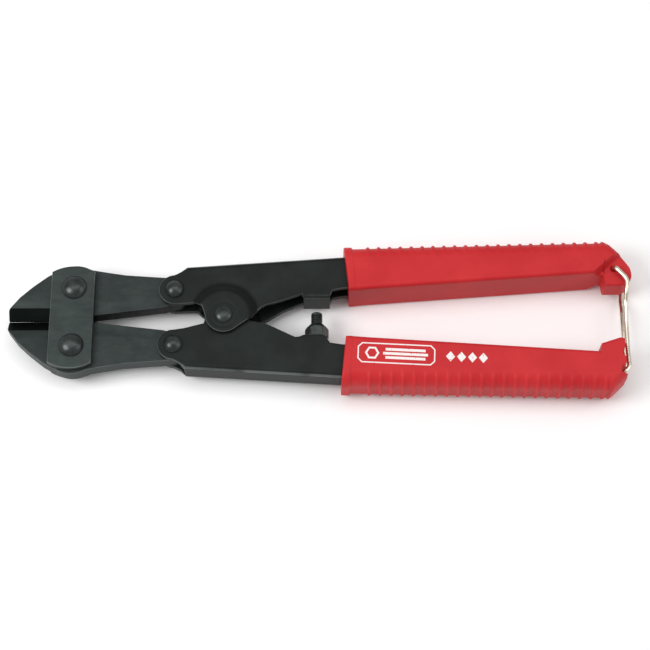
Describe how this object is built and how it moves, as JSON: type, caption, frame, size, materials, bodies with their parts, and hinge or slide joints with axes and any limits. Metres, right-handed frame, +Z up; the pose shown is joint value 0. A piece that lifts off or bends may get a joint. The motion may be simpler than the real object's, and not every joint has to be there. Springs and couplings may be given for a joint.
{
  "type": "compound bolt cutter",
  "caption": "Compact compound-leverage bolt cutter with bevelled jaws, folded steel arms, ribbed grips and a wire latch that holds the handles closed.",
  "frame": {"origin": "middle of the tool's length and width, on the surface it lies on", "axes": "+X from the jaws to the grips, +Y towards the handle that carries the latch, +Z up through the tool's thickness"},
  "size_m": [0.2102, 0.0542, 0.0164],
  "materials": {
    "jaw_steel": "black oxide, satin",
    "plate_steel": "black oxide, satin",
    "rivet_steel": "dark, slightly glossy",
    "screw_steel": "black oxide",
    "arm_steel": "dark, satin",
    "grip": "soft red plastic",
    "latch_wire": "bright plated wire"
  },
  "bodies": {
    "upper_handle": {"upper_arm": "arm_steel", "upper_grip": "grip", "stop_pad": "arm_steel", "upper_link_rivet": "rivet_steel", "centre_rivet": "rivet_steel", "pivot_bush": "rivet_steel", "opening_spring": "latch_wire"},
    "lower_handle": {"lower_arm": "arm_steel", "lower_grip": "grip", "lower_link_rivet": "rivet_steel", "stop_weld_nut": "arm_steel", "stop_lock_nut": "screw_steel", "spring_lower_leg": "latch_wire"},
    "upper_jaw": {"upper_jaw": "jaw_steel"},
    "lower_jaw": {"lower_jaw": "jaw_steel"},
    "head_plates": {"front_side_plate": "plate_steel", "back_side_plate": "plate_steel", "upper_jaw_rivet": "rivet_steel", "lower_jaw_rivet": "rivet_steel"},
    "latch": {"wire_latch": "latch_wire"},
    "stop_screw": {"stop_screw": "screw_steel"}
  },
  "joints": [
    {"name": "handle_open", "type": "hinge", "parent": "upper_handle", "child": "lower_handle", "pos_m": [-0.03255, 0, 0.0082], "axis": [0, 0, -1], "range_deg": [0, 28]},
    {"name": "upper_jaw_turn", "type": "hinge", "parent": "upper_handle", "child": "upper_jaw", "pos_m": [-0.0493, 0.0099, 0.0082], "axis": [0, 0, -1], "range_deg": [0, 22]},
    {"name": "lower_jaw_turn", "type": "hinge", "parent": "lower_handle", "child": "lower_jaw", "pos_m": [-0.0493, -0.0099, 0.0082], "axis": [0, 0, 1], "range_deg": [0, 22]},
    {"name": "head_plates_turn", "type": "hinge", "parent": "upper_jaw", "child": "head_plates", "pos_m": [-0.08305, 0.01035, 0.0082], "axis": [0, 0, 1], "range_deg": [0, 7.5]},
    {"name": "latch_swing", "type": "hinge", "parent": "upper_handle", "child": "latch", "pos_m": [0.09925, 0.01685, 0.0082], "axis": [0, 0, 1], "range_deg": [0, 90]},
    {"name": "stop_screw_adjust", "type": "slide", "parent": "lower_handle", "child": "stop_screw", "axis": [0, 1, 0], "range_m": [-0.0015, 0.003]}
  ],
  "couplings": [
    {"joint": "upper_jaw_turn", "follows": "handle_open", "ratio": 0.7618},
    {"joint": "lower_jaw_turn", "follows": "handle_open", "ratio": 0.7618},
    {"joint": "head_plates_turn", "follows": "handle_open", "ratio": 0.2618}
  ]
}
